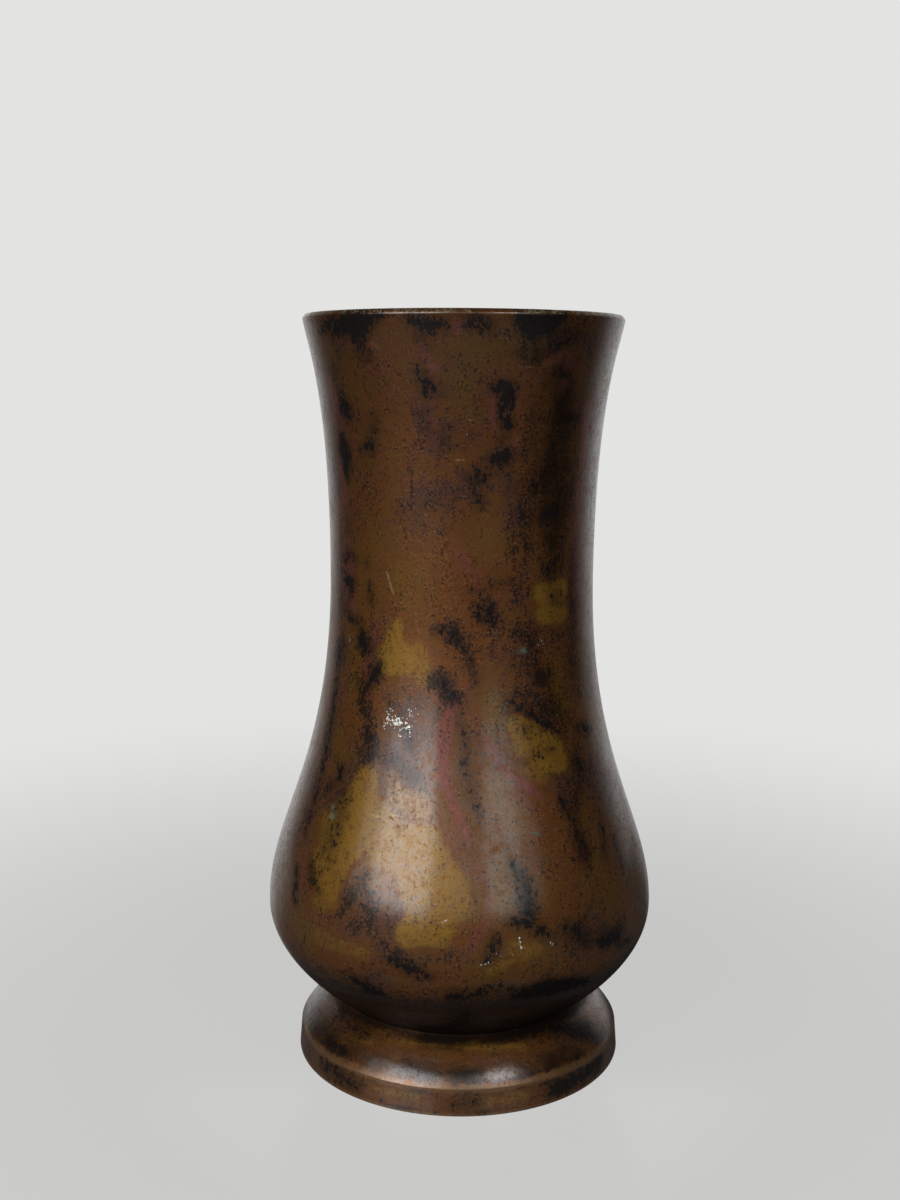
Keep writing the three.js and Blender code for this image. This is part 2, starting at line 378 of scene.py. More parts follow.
RED_MARKS = {
    "long streak": (
        0.95,
        (-3, 129, 1.6), (-6, 122, 2.6), (-7, 115, 2.8), (-6, 107, 2.3),
        (-3, 99, 2.1), (1, 92, 1.5), (3, 86, 0.9),
    ),
    "thin curve": (1, (9, 118, 0.9), (12, 112, 1.5), (17, 107.5, 1.6), (23, 103.5, 2), (28, 100, 1.2)),
    "spot under lip": (0.95, (-2.5, 241.5, 1.6), (-2.5, 238.5, 1.4)),
    "beside chain": (0.66, (10.5, 220, 1.8), (10.5, 215, 1.8), (12.5, 208, 1.2)),
    "fringe of chain": (0.7, (20, 222, 1.8), (20, 213, 1.2), (19, 204, 1.8)),
    "bars under chain": (0.72, (8, 188, 1.2), (15, 187.5, 1), (21, 185, 1), (9, 183, 0.8)),
    "tick": (0.74, (0, 173, 1.4), (3.5, 168, 1.6), (6, 163.5, 1.2)),
    "specks over streak": (0.56, (1, 134, 2.2), (5, 126, 2.2), (6, 118, 1.8)),
    "left edge, upper": (0.66, (-60, 224, 3), (-58, 210, 3.8), (-59, 196, 4), (-58, 182, 4)),
    "left edge, lower": (0.7, (-57, 174, 4.4), (-56, 162, 4.4), (-52, 154, 3)),
    "left of left patch": (0.66, (-38, 152, 1.6), (-39, 146, 2), (-42, 136, 2), (-38, 128, 2)),
    "web, upper right": (0.6, (30, 230, 2), (36, 232, 3), (42, 228, 3.4), (47, 236, 3.4), (38, 222, 2.4)),
    "under lip, left": (0.66, (-50, 236.5, 1.6), (-42, 234.5, 1.8), (-33, 235, 1.2)),
    "trail": (0.6, (-15, 235, 1.8), (-10, 226, 2.6), (-13, 216, 2.6), (-11, 206, 2)),
    "left belly edge": (0.76, (-60, 100, 2), (-56, 78, 1.6), (-53, 70, 1.6), (-58, 60, 2.4)),
    "specks over middle": (0.6, (-3, 178, 2.2), (-1, 169, 2), (-12, 166, 1.4)),
    "right edge": (0.75, (56, 216, 3.6), (56, 190, 3.6), (56, 160, 3.2)),
    "belly, under streak": (0.66, (5, 82, 1.6), (8, 74, 2.2), (7, 66, 2), (3, 60, 1.6)),
}
VIOLET_MARKS = {
    "middle, upper": (0.95, (-10, 151, 2.6), (-5, 151, 3.6), (-1, 147, 2.8)),
    "middle, lower": (1, (-12, 135, 3), (-8, 135, 4.2), (-4, 131, 2.6)),
    "middle, slant": (0.7, (1, 145, 2), (4, 139, 2.4), (6, 134, 1.8)),
    "left of silver specks": (0.7, (-44, 128, 2.6), (-38, 122, 4.4), (-35, 113, 4.6), (-38, 106, 2)),
    "around silver specks": (0.75, (-28, 128, 3.2), (-22, 121, 3.6), (-18, 114, 3)),
    "under them": (0.7, (-24, 110, 5), (-18, 106, 4.6)),
    "left, high": (0.62, (-27, 184, 3)),
    "wedge": (1, (-29, 77, 1.4), (-32, 72, 2.2), (-34.5, 67, 1.9), (-36.5, 62, 1)),
    "right of wedge": (0.74, (-27, 71, 3.4), (-25, 65, 3.2), (-30, 61, 2.6)),
    "under middle belly patch": (
        0.9,
        (-23, 60, 1.8), (-20, 57, 2.2), (-14, 55, 1.8), (-7, 55, 1.3), (-2, 57, 0.9),
    ),
    "under left belly patch": (0.8, (-52, 77, 1.4), (-48, 71, 1.8), (-45, 68.5, 1)),
    "right of long streak": (0.6, (0, 122, 2), (2, 112, 2.6), (5, 100, 2.6), (6, 92, 2.4)),
    "middle, haze": (0.74, (8, 158, 2.6), (10, 155, 4)),
    "over oval patch": (0.7, (20, 131, 2.4), (29, 131, 3.4), (38, 121, 2)),
    "between chain and square": (0.56, (22, 186, 4), (26, 178, 4), (24, 160, 4), (20, 146, 3)),
    "belly, stipple": (0.74, (14, 86, 2.4), (18, 77, 4), (19, 68, 4.4)),
    "right edge of belly": (0.72, (57, 82, 4), (58, 74, 4)),
    "upper right": (0.7, (46, 240, 3), (51, 232, 3.6)),
    "left edge": (0.62, (-61, 205, 2.6), (-61, 190, 2.6), (-61, 165, 2.6)),
}
# Dark patina, and partly painted shade: on the right of the neck, on the edges, under the belly and at the
# waist
DARK_PATINA_AND_SHADE_MARKS = {
    "right neck": (0.84, (38, 228, 5), (39, 214, 8), (39, 198, 9), (39, 182, 8), (40, 170, 4)),
    "right neck, inner side": (0.6, (30, 218, 5), (29, 204, 6), (28, 190, 6), (28, 176, 5)),
    "right neck, top": (0.56, (26, 232, 5), (36, 240, 4), (46, 236, 5)),
    "under lip": (0.44, (-50, 243, 3), (0, 243, 3), (50, 243, 3)),
    "right of square patch": (0.66, (53, 172, 5), (53, 150, 5), (52, 134, 5)),
    "over oval patch": (0.62, (26, 150, 4), (30, 141, 5), (34, 134, 5), (44, 119, 3)),
    "right of oval patch": (0.66, (48, 112, 4.5), (45, 100, 4), (40, 92, 4), (41, 82, 4)),
    "outline of oval patch": (
        0.8,
        (17, 126, 0.9), (22, 126, 0.9), (31, 121.3, 0.9),
        (38, 117.2, 0.9), (42.5, 114, 0.9), (42.5, 107, 0.9),
    ),
    "left edge": (0.6, (-60, 176, 4), (-61, 150, 4.5), (-62, 120, 4.5), (-62, 84, 3)),
    "left of left patch": (0.5, (-42, 140, 2.4), (-44, 132, 3), (-36, 116, 3)),
    "lower belly": (0.7, (30, 60, 4), (38, 56, 5), (50, 55, 5)),
    "under belly": (0.9, (-60, 38, 4), (-34, 39, 5), (0, 38, 5), (26, 40, 7), (44, 39, 6), (64, 40, 5)),
    "waist": (1, (-64, 27, 6), (-20, 27, 5), (0, 27, 5), (34, 27, 6), (64, 28, 6)),
    "foot, right": (0.95, (30, 20.4, 2), (40, 19, 3.4), (50, 17, 4), (60, 15, 4)),
    "foot, left": (0.8, (-60, 18, 3), (-46, 18.5, 2.6), (-34, 19, 2)),
}
VERDIGRIS_MARKS = {
    "bar, right": (0.9, (22, 144, 0.8), (25, 144.3, 1.3), (27, 144, 0.8)),
    "spot, right shoulder": (0.62, (22, 90.5, 1), (25, 90, 1.6)),
    "spot in left patch": (0.72, (-48, 94, 1.2), (-47, 90.5, 1.8)),
    "second spot in left patch": (0.55, (-45, 94, 1)),
    "foot, left": (0.5, (-43, 9, 1.2)),
}
SILVER_MARKS = {
    "cluster, left": (0.66, (-30, 121, 1.2), (-28.5, 124, 1.4), (-27, 126, 0.8)),
    "cluster, middle": (0.72, (-27, 121.5, 1.4), (-24.5, 122.5, 1.6), (-22, 121, 1.2)),
    "cluster, lower": (0.6, (-24, 119, 1.2), (-22, 118, 1)),
    "cluster, right": (0.7, (-21, 121, 1.2), (-20, 124, 1.2), (-20, 126, 0.8), (-19.5, 119, 1)),
    "beside verdigris": (0.72, (31.5, 145.5, 0.6), (34, 145.8, 0.8)),
    "belly, first": (0.85, (15.7, 61, 0.8)),
    "belly, second": (0.85, (16.5, 58.7, 0.8)),
    "belly, third": (0.85, (25, 58, 0.8)),
    "belly, fourth": (0.66, (5.5, 54, 0.7), (13.5, 57.5, 0.6)),
    "left edge": (0.72, (-54, 145, 1)),
    "right shoulder": (0.66, (31, 90, 0.8)),
    "chip": (0.8, (-5, 66.8, 0.9)),
    "middle": (0.6, (2, 216, 0.7), (-17.5, 122, 0.6)),
}
SCRATCH_MARKS = {
    "neck, left": (0.9, (-21, 228.5, 0.3), (-11, 228.5, 0.2)),
    "neck, right": (0.9, (19, 228.5, 0.2), (24, 228.6, 0.3), (34, 230, 0.2)),
    "shoulder, left": (0.85, (-46, 94.3, 0.2), (-38, 94.8, 0.4), (-30, 94, 0.4)),
    "shoulder, right": (1, (-29, 93.8, 0.5), (-22, 95, 0.4), (-14, 95, 0.3)),
    "middle": (1, (-6, 200.6, 0.5), (-2, 201.4, 0.5), (0, 201.6, 0.3)),
    "short, middle": (0.9, (-15, 185.2, 0.4), (-12, 186.2, 0.4)),
    "short, left": (0.8, (-32, 204.6, 0.3), (-29, 205, 0.2)),
    "tick, upper left": (0.9, (-33, 235.6, 0.3), (-30, 233.2, 0.3)),
    "tick, left": (1, (-32, 167, 0.5), (-30.5, 163.5, 0.4), (-29, 160.5, 0.4)),
    "short, over red streak": (0.9, (-5, 159.6, 0.4), (-2, 161, 0.4)),
    "widest ring": (0.8, (0, 52, 0.2), (18, 52.4, 0.2)),
    "beside chain": (0.8, (6, 201, 0.2), (9, 201.6, 0.2)),
    "nicks under faint highlight": (0.9, (12, 97, 0.5), (14, 96.4, 0.3)),
    "second nick": (0.8, (12, 92.5, 0.4), (13.5, 93, 0.3)),
}

# The patina's layers, each with its marks and how soft in mm their edges are
PATINA = {
    "black": (BLACK_MARKS, 2.6),
    "ochre": (OCHRE_MARKS, 2.2),
    "olive": (OLIVE_MARKS, 5.0),
    "red": (RED_MARKS, 1.5),
    "violet": (VIOLET_MARKS, 3.4),
    "dark": (DARK_PATINA_AND_SHADE_MARKS, 5.5),
    "verdigris": (VERDIGRIS_MARKS, 1.0),
    "silver": (SILVER_MARKS, 1.4),
    "scratch": (SCRATCH_MARKS, 0.9),
}

# Where marks like these are strewn on the far side: degrees from the front, and mm up or down
UNSEEN_ANGLES = (88, 272)
UNSEEN_RISE = (-16, 16)
FIRST_SEED = 11
SEEN_SIDE_ONLY = ("dark", "scratch")

# How far each curve of the outline keeps the direction of its ring: out or in, and up or down
RIDGE_LEAN = 4.6 * MM
RIDGE_LIFT = 7.5 * MM
WAIST_DROP = 0.9 * MM
WAIST_LIFT = 0.8 * MM
BELLY_DROP = 17.5 * MM
BELLY_LIFT = 27.6 * MM
THROAT_DROP = 63.7 * MM
THROAT_LIFT = 57 * MM
LIP_FLARE = 1.7 * MM
LIP_DROP = 9.6 * MM

# How the casting's mesh is drawn
FEWEST_RINGS = 6  # on each curve
BAND_STEPS = 7  # up the upright band of the foot
INNER_SPACING = 4  # times as far between the rings inside as outside
CORNER_CLEARANCE = 1 * MM  # from the ledge and the lip to the next ring
SEAT_CLEARANCE = 0.5 * MM  # from the ledge's edge to the next ring
INNER_LIP_SLOPE = 0.2 * MM
BODY_ROUNDING = 0.35 * MM
MERGE_DISTANCE = 0.01 * MM
SMOOTH_BELOW = math.radians(40)
OUTSIDE_SHARE = 0.45  # of the wall's thickness that counts as outside when it is painted


def at(radius, height):
    return Vector((radius, 0, height))


def curves_of(sizes):
    """The four curves of the outside, from the ridge of the foot up to the lip."""
    ridge = at(sizes.ridge_radius, sizes.ridge_height)
    waist = at(sizes.waist_radius, sizes.waist_height)
    belly = at(sizes.belly_radius, sizes.belly_height)
    throat = at(sizes.throat_radius, sizes.throat_height)
    lip = at(sizes.lip_radius, sizes.lip_height)
    return [
        (ridge, ridge + at(-RIDGE_LEAN, RIDGE_LIFT), waist - at(0, WAIST_DROP), waist),
        (waist, waist + at(0, WAIST_LIFT), belly - at(0, BELLY_DROP), belly),
        (belly, belly + at(0, BELLY_LIFT), throat - at(0, THROAT_DROP), throat),
        (throat, throat + at(0, THROAT_LIFT), lip - at(LIP_FLARE, LIP_DROP), lip),
    ]


def outside_of(sizes, spacing):
    """Points up the outside from the ridge to the lip, about spacing apart."""
    points = [at(sizes.ridge_radius, sizes.ridge_height)]
    for curve in curves_of(sizes):
        steps = max(FEWEST_RINGS, round((curve[3] - curve[0]).length / spacing))
        points += interpolate_bezier(*curve, steps + 1)[1:]
    return points


def offset_inwards(points, depth):
    """The points moved square to their line towards the axis."""
    moved = []
    for before, point, after in zip([points[0], *points], points, [*points[1:], points[-1]]):
        along = (after - before).normalized()
        moved.append(point + Vector((-along.z, 0, along.x)) * depth)
    return moved


def inside_of(sizes):
    """Points up the inside of the wall, from the ledge over the plate to the lip."""
    low = sizes.seat_height + CORNER_CLEARANCE
    high = sizes.height - CORNER_CLEARANCE
    widest = sizes.seat_radius - SEAT_CLEARANCE
    points = offset_inwards(outside_of(sizes, sizes.ring_spacing * INNER_SPACING), sizes.wall)
    points = [point for point in points if low < point.z < high]
    return [point for point in points if point.x < widest or point.z > sizes.waist_height]


def body_outline(sizes):
    """The closed outline of the casting, and its sharp corners."""
    outside = outside_of(sizes, sizes.ring_spacing)
    foot = at(sizes.foot_radius, 0)
    band = [foot.lerp(outside[0], step / BAND_STEPS) for step in range(1, BAND_STEPS)]
    lip = [
        at(sizes.lip_radius - sizes.lip_bevel, sizes.height),
        at(sizes.lip_radius - sizes.wall - INNER_LIP_SLOPE, sizes.height),
    ]
    rebate = [
        at(sizes.seat_radius, sizes.seat_height),
        at(sizes.rebate_radius, sizes.seat_height),
        at(sizes.rebate_radius, 0),
    ]
    corners = [foot, outside[0], outside[-1], *lip, rebate[0], rebate[2]]
    return [foot, *band, *outside, *lip, *reversed(inside_of(sizes)), *rebate], corners


def deselect():
    if bpy.context.object and bpy.context.object.mode == "EDIT":
        bpy.ops.object.mode_set(mode="OBJECT")
    bpy.ops.object.select_all(action="DESELECT")


def start_outline(first):
    """A new mesh object in edit mode with one vertex, at the outline's first point."""
    deselect()
    bpy.ops.mesh.primitive_plane_add(size=1 * MM, location=first)
    bpy.ops.object.transform_apply(location=True, rotation=True, scale=True)
    bpy.ops.object.mode_set(mode="EDIT")
    bpy.ops.mesh.select_all(action="SELECT")
    bpy.ops.mesh.merge(type="CENTER")


def select_at(points, tolerance=0.02 * MM):
    """Selects the vertices that lie at the points, in edit mode."""
    bpy.ops.mesh.select_mode(type="VERT")
    bpy.ops.mesh.select_all(action="DESELECT")
    bpy.ops.object.mode_set(mode="OBJECT")
    for vertex in bpy.context.object.data.vertices:
        vertex.select = any((vertex.co - point).length < tolerance for point in points)
    bpy.ops.object.mode_set(mode="EDIT")


def merge_all():
    bpy.ops.mesh.select_all(action="SELECT")
    bpy.ops.mesh.remove_doubles(threshold=MERGE_DISTANCE)


def turned_piece(name, outline, steps, corners=(), rounding=0):
    """A closed outline drawn by extruding a vertex, its corners rounded, and spun round the axis."""
    start_outline(outline[0])
    for before, after in zip(outline, [*outline[1:], outline[0]]):
        bpy.ops.mesh.extrude_vertices_move(TRANSFORM_OT_translate={"value": after - before})
    merge_all()
    if corners:
        select_at(corners)
        bpy.ops.mesh.bevel(affect="VERTICES", offset=rounding, offset_type="OFFSET", segments=3)
    bpy.ops.mesh.select_all(action="SELECT")
    bpy.ops.mesh.spin(steps=steps, angle=math.tau, center=(0, 0, 0), axis=(0, 0, 1))
    merge_all()
    bpy.ops.mesh.normals_make_consistent(inside=False)
    bpy.ops.object.mode_set(mode="OBJECT")
    piece = bpy.context.object
    piece.name = name
    piece.data.name = name
    bpy.ops.object.shade_smooth_by_angle(angle=SMOOTH_BELOW)
    return piece


def vertex_places(piece):
    places = np.zeros(len(piece.data.vertices) * 3)
    piece.data.vertices.foreach_get("co", places)
    return places.reshape(-1, 3)


def write_field(piece, name, values):
    attribute = piece.data.attributes.new(name, "FLOAT", "POINT")
    attribute.data.foreach_set("value", values.astype(np.float32))


def nearness(places, stroke, softness):
    """1 well within a stroke of (place, radius) rings, a half on its edge and 0 well outside it."""
    best = np.full(len(places), -np.inf)
    ends = list(zip(stroke, stroke[1:])) or [(stroke[0], stroke[0])]
    for (start, first), (stop, last) in ends:
        along = stop - start
        span = along @ along or 1
        part = np.clip(((places - start) @ along) / span, 0, 1)
        gap = np.linalg.norm(places - start - part[:, None] * along, axis=1)
        best = np.maximum(best, first + (last - first) * part - gap)
    return np.clip(0.5 + best / (2 * softness), 0, 1)


def marks_of_unseen_side(marks, seed):
    """Marks like those that are seen, strewn over the far side of the vase."""
    draw = random.Random(seed)
    strewn = []
    for density, *rings in marks.values():
        turn = draw.uniform(*UNSEEN_ANGLES)
        rise = draw.uniform(*UNSEEN_RISE)
        centre = sum(ring[0] for ring in rings) / len(rings)
        moved = [(turn + centre - angle, height + rise, radius) for angle, height, radius in rings]
        strewn.append((density, *moved))
    return strewn


def paint_patina(piece, sizes):
    """Writes each layer of the patina as an attribute of the casting's points."""
    outside = [at(sizes.foot_radius, 0), *outside_of(sizes, sizes.ring_spacing)]
    heights = np.array([point.z for point in outside])
    radii = np.array([point.x for point in outside])
    places = vertex_places(piece)
    radius = np.hypot(places[:, 0], places[:, 1])
    outer = radius > np.interp(places[:, 2], heights, radii) - sizes.wall * OUTSIDE_SHARE
    for seed, (layer, (marks, softness)) in enumerate(PATINA.items(), FIRST_SEED):
        strokes = list(marks.values())
        if layer not in SEEN_SIDE_ONLY:
            strokes += marks_of_unseen_side(marks, seed)
        values = np.zeros(len(places))
        for density, *rings in strokes:
            stroke = []
            for angle, height, size in rings:
                turn = math.radians(angle)
                wide = np.interp(height * MM, heights, radii)
                centre = np.array([wide * math.sin(turn), -wide * math.cos(turn), height * MM])
                stroke.append((centre, size * MM))
            values = np.maximum(values, density * nearness(places, stroke, softness * MM))
        write_field(piece, layer, values * outer)
    write_field(piece, "inside", 1.0 - outer)


# Heights between which a part of the patina comes in or ends
RIDGE_SHADE = (9.3 * MM, 10.6 * MM)
RIDGE_SHADE_ENDS = (13 * MM, 16.5 * MM)
WAIST = (17 * MM, 19.6 * MM)
FOOT_ENDS = (17 * MM, 21 * MM)
# Where the painted shade over the waist and under the belly fades out
WAIST_PAINTED_SHADE_ENDS = (30 * MM, 52 * MM)
UNDERSIDE_ENDS = (44 * MM, 58 * MM)
DRY_WAX = (104 * MM, 126 * MM)
DRY_WAX_ENDS = (150 * MM, 185 * MM)
# The neck's painted shade comes in between these heights
NECK_PAINTED_SHADE = (145 * MM, 225 * MM)

# How far from its ring an edge's wear starts to fade, and where it ends
LIP_WEAR = (-0.1 * MM, 0.5 * MM)
RIDGE_WEAR = (0.3 * MM, 1.7 * MM)
FOOT_WEAR = (0.3 * MM, 1.5 * MM)

PIT_SPACING = 3.2 * MM
FINE_RELIEF = 0.1 * MM
BROAD_RELIEF = 0.35 * MM
WAX_IOR = 1.56


def patina_finish(sizes, look):
    """Layered brown patina with ochre patches, blue-black blotches, red streaks and rubbed edges.

    The weights of the noises and marks in each layer, and its levels, were set one by one.
    """
    f = Finish(bpy.data.materials.new("patinated_bronze"), look.umber)
    height = f.node("ShaderNodeSeparateXYZ", None, {0: f.place}, output="Z")
    inside = f.field("inside")
    grain = f.noise(0.8 * MM, 3, 0.7)
    speckle = f.noise(2.2 * MM, 4, 0.7, shift=3)
    stipple = f.noise(1.5 * MM, 3, 0.75, (1, 1, 1.4), shift=13)
    cloud = f.noise(12 * MM, 4, 0.6, shift=7, distortion=0.6)
    bloom = f.noise(21 * MM, 3, 0.6, shift=17, distortion=0.4)
    drift = f.noise(34 * MM, 3, 0.55, (1, 1, 1.6), shift=11)
    brush = f.noise(1.3 * MM, 3, 0.6, (1, 1, 14), shift=5)
    streak = f.noise(2.6 * MM, 4, 0.65, (7, 7, 1), shift=9)
    ragged = cloud * 0.8 + speckle * 1.1 + grain * 0.7

    # The wall's clouded browns, brushed paler, and painted shade that darkens the neck towards the lip
    f.layer(look.chestnut, cloud + brush * 0.6, -0.16, 0.18)
    f.layer(look.plum, bloom + cloud * 0.5 + speckle * 0.5, -0.02, 0.2, 0.85)
    olive = drift + f.field("olive") * 0.4 + cloud * 0.7 + speckle * 0.4
    f.layer(look.olive, olive, 0.04, 0.44, 0.85)
    pale = speckle * 0.5 - grain * 1.4 + brush * 0.5 + cloud * 0.3
    f.layer(look.rubbed, pale, 0.08, 0.32, 0.5)
    f.layer(look.dark_patina_and_shade, height + cloud * (60 * MM), *NECK_PAINTED_SHADE, 0.3)

    # Violet hazes, dark patina with painted shade on the edges and under the belly, ochre patches and red
    # streaks
    violet = f.layer(look.violet, f.field("violet") + ragged * 0.9, 0.3, 0.86, 0.8)
    dark = f.field("dark") + cloud * 0.9 + streak * 0.5 + grain * 0.4
    dark = f.layer(look.dark_patina_and_shade, dark, 0.2, 0.95, 0.84)
    olive_tinge = f.step(speckle * 1.2 + cloud + grain * 0.8, -0.12, 0.3) * 0.75
    ochre = f.blend(olive_tinge, look.ochre, look.olive)
    f.layer(ochre, f.field("ochre") + ragged * 1.2, 0.34, 0.74, 0.9)
    f.layer(look.red, f.field("red") + ragged * 0.9 + grain * 0.6, 0.34, 0.86, 0.88)

    # Fine dark dots, which crowd in the hazes, then the blue-black blotches with their halos
    crowd = violet * 0.22 + f.field("dark") * 0.18 + cloud * 0.35 + bloom * 0.3
    crowd = crowd - f.field("ochre") * 0.06
    f.layer(look.dark_patina_and_shade, grain * 1.5 + speckle * 0.8 + brush * 0.6 + crowd, 0, 0.32, 0.78)
    f.layer(look.dark_patina_and_shade, f.field("black") + cloud * 0.3 + speckle * 0.3, 0.02, 0.5, 0.4)
    black = f.field("black") + stipple * 1.9 + brush * 0.3
    black = f.layer(look.blue_black, black, 0.46, 0.6, 0.95)

    # Pits of the casting
    cells = {"Vector": f.place, "Scale": 1 / PIT_SPACING}
    pit_gap = f.node("ShaderNodeTexVoronoi", None, cells, output="Distance")
    pits = (1 - f.step(pit_gap, 0.05, 0.15)) * f.step(cloud + speckle, -0.02, 0.16)
    f.cover(look.dark_patina_and_shade, pits * 0.75)

    # The foot's mottling, the shade over its ridge, and the dark over the waist and under the belly:
    # partly black patina, partly painted shade
    on_foot = 1 - f.step(height, *FOOT_ENDS)
    mottle = f.step(streak * 1.5 + speckle * 0.9 + cloud * 0.8, 0, 0.3)
    f.cover(look.dark_patina_and_shade, mottle * on_foot * 0.66)
    over_ridge = f.step(height + streak * (5 * MM), *RIDGE_SHADE)
    past_shade = f.step(height + (streak + speckle) * (6 * MM), *RIDGE_SHADE_ENDS)
    over_ridge = over_ridge * (1 - past_shade) * f.step(cloud + bloom, -0.3, 0.1)
    f.cover(look.dark_patina_and_shade, over_ridge * 0.7)
    over_foot = f.step(height + streak * (6 * MM), *WAIST)
    waist = over_foot * (1 - f.step(height + streak * (16 * MM), *WAIST_PAINTED_SHADE_ENDS))
    f.cover(look.dark_patina_and_shade, waist * (0.94 - f.step(bloom + cloud * 0.6, 0, 0.2) * 0.3))

    # Green and pale specks, and scratches
    verdigris = f.field("verdigris") + grain * 1.4 + speckle * 0.8
    verdigris = f.layer(look.verdigris, verdigris, 0.45, 0.8, 0.8)
    silver = f.layer(look.silver, f.field("silver") + grain * 2.6, 0.62, 0.76)
    f.layer(look.worn, f.field("scratch") + grain * 0.9, 0.42, 0.72, 0.36)

    # The ridge and the standing edge rubbed paler, the lip worn to the metal, and the lining
    uneven = speckle + streak
    from_ridge = abs(height - sizes.ridge_height)
    ridge_wear = 1 - f.step(from_ridge + uneven * (2.4 * MM), *RIDGE_WEAR)
    foot_wear = 1 - f.step(height + uneven * (2.2 * MM), *FOOT_WEAR)
    f.cover(look.rubbed, ridge_wear.most(foot_wear) * (1 - inside) * 0.6)
    low, high = (sizes.lip_height + gap for gap in LIP_WEAR)
    lip_wear = f.step(height + grain * (1.2 * MM), low, high)
    lip_wear = lip_wear * f.step(bloom + speckle + grain, 0, 0.22) * (1 - inside)
    f.cover(look.worn, lip_wear * 0.85)
    f.cover(f.blend(f.step(cloud + speckle, -0.1, 0.25), look.dark_patina_and_shade, look.umber), inside)

    # The wax, thin on dark, dry and rubbed places and under the belly
    under = over_foot * (1 - f.step(height, *UNDERSIDE_ENDS))
    dull = (dark * 0.45).most(black * (0.4 + under * 0.55)).most(inside).most(violet * 0.3)
    dull = dull.most(waist).most(under * 0.62)
    dry = f.step(height, *DRY_WAX) * (1 - f.step(height, *DRY_WAX_ENDS))
    rubbed_through = f.step(grain + brush * 0.9, 0.02, 0.24)
    wax = (look.wax + on_foot * 0.05) * (1 - dull) * (1 - dry * 0.4)
    wax = wax * (1 - rubbed_through * 0.45)
    wax = wax * f.step(speckle + grain * 1.2 + cloud * 0.5, -0.42, 0.12)

    # The bronze under it, whose reflection the crusts hide
    rough = look.roughness - on_foot * 0.1 + speckle * 0.18 + grain * 0.12 + black * 0.14
    rough = rough + dark * 0.08 + inside * 0.3 + verdigris * 0.3 - lip_wear * 0.12
    # The waist's painted shade also takes away the metal's reflection
    crust = (verdigris + silver * 0.5).most(black * 0.8).most(waist * 0.85)
    relief = grain * 0.7 + speckle * 0.35 - pits + brush * 0.22 + black * 0.1 + silver * 0.3
    return f.surface(
        {
            "Roughness": rough,
            "Metallic": look.metallic * (1 - crust) + lip_wear * 0.4,
            "Specular IOR Level": 0.05,
            "Coat Weight": wax,
            "Coat Roughness": look.wax_roughness,
            "Coat IOR": WAX_IOR,
            "Normal": f.bump(cloud, BROAD_RELIEF, f.bump(relief, FINE_RELIEF)),
        }
    )


# The turned plate and the ring of solder
PLATE_STEPS = 128
PLATE_ROUNDING = 0.2 * MM
CENTRE_GROOVE = 1.2 * MM
GROOVE_SHARES = (0.45, 0.9)  # of the plate's radius
GROOVE_DEPTH = 0.25 * MM
TURNING_SPACING = 0.5 * MM
SEAM_STEPS = 192
SEAM_POINTS = 9
SEAM_HOLLOW = 0.36  # of the leg, from its corner to where the face is pulled
SEAM_PULL = 0.6  # of the way there


def plate_finish(look):
    """Turned bronze, dulled brown."""
    f = Finish(bpy.data.materials.new("plain_bronze"), look.umber)
    flattened = {0: f.place, 1: (1, 1, 0)}
    flat = f.node("ShaderNodeVectorMath", {"operation": "MULTIPLY"}, flattened)
    reach = f.node("ShaderNodeVectorMath", {"operation": "LENGTH"}, {0: flat}, output="Value")
    turning = {"W": reach, "Scale": 1 / TURNING_SPACING, "Detail": 2}
    rings = f.node("ShaderNodeTexNoise", {"noise_dimensions": "1D"}, turning)
    cloud = f.noise(9 * MM, 4, 0.6)
    grain = f.noise(0.8 * MM, 3, 0.6)
    f.layer(look.olive, cloud + grain * 0.5, -0.12, 0.2)
    f.layer(look.worn, rings + grain * 0.5, 0.45, 0.75, 0.35)
    f.layer(look.dark_patina_and_shade, cloud + grain, 0.1, 0.3, 0.5)
    relief = f.bump(rings + grain * 0.4, 0.06 * MM)
    return f.surface({"Roughness": 0.5 + grain * 0.2, "Metallic": 0.7, "Normal": relief})


def solder_finish(look):
    """Soft solder, dull grey with a darker bloom."""
    f = Finish(bpy.data.materials.new("solder"), look.solder)
    cloud = f.noise(5 * MM, 3, 0.6)
    grain = f.noise(0.7 * MM, 3, 0.6)
    f.layer(look.tarnish, cloud + grain * 0.6, -0.12, 0.2)
    relief = f.bump(cloud + grain * 0.4, 0.25 * MM)
    return f.surface({"Roughness": 0.42 + grain * 0.3, "Metallic": 0.85, "Normal": relief})


def dress(piece, node, material):
    """The piece takes its finish, rides on the vase and stands for its solid."""
    piece.data.materials.clear()
    piece.data.materials.append(material)
    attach(piece, "root")
    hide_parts(node)


class VASE_OT_cast_body(bpy.types.Operator):
    """Models the thin-walled casting and paints its patina"""

    bl_idname = "vase.cast_body"
    bl_label = "Cast body"

    def execute(self, context):
        sizes = context.scene.vase_sizes
        outline, corners = body_outline(sizes)
        piece = turned_piece("cast_body", outline, sizes.steps_around, corners, BODY_ROUNDING)
        paint_patina(piece, sizes)
        material = patina_finish(sizes, context.scene.vase_finish)
        dress(piece, "vase_body", material)
        return {"FINISHED"}


class VASE_OT_base_plate(bpy.types.Operator):
    """Models the turned plate that closes the foot"""

    bl_idname = "vase.base_plate"
    bl_label = "Base plate"

    def execute(self, context):
        radius = PLATE_HIGH.x
        low, high = PLATE_LOW.z, PLATE_HIGH.z
        outline = [at(0, low), at(CENTRE_GROOVE, low + GROOVE_DEPTH), at(CENTRE_GROOVE * 2, low)]
        for part in GROOVE_SHARES:
            middle = radius * part
            bottom = at(middle, low + GROOVE_DEPTH)
            outline += [at(middle - GROOVE_DEPTH, low), bottom, at(middle + GROOVE_DEPTH, low)]
        corners = [at(radius, low), at(radius, high)]
        outline += [*corners, at(0, high)]
        piece = turned_piece("turned_base_plate", outline, PLATE_STEPS, corners, PLATE_ROUNDING)
        dress(piece, "base_plate", plate_finish(context.scene.vase_finish))
        return {"FINISHED"}


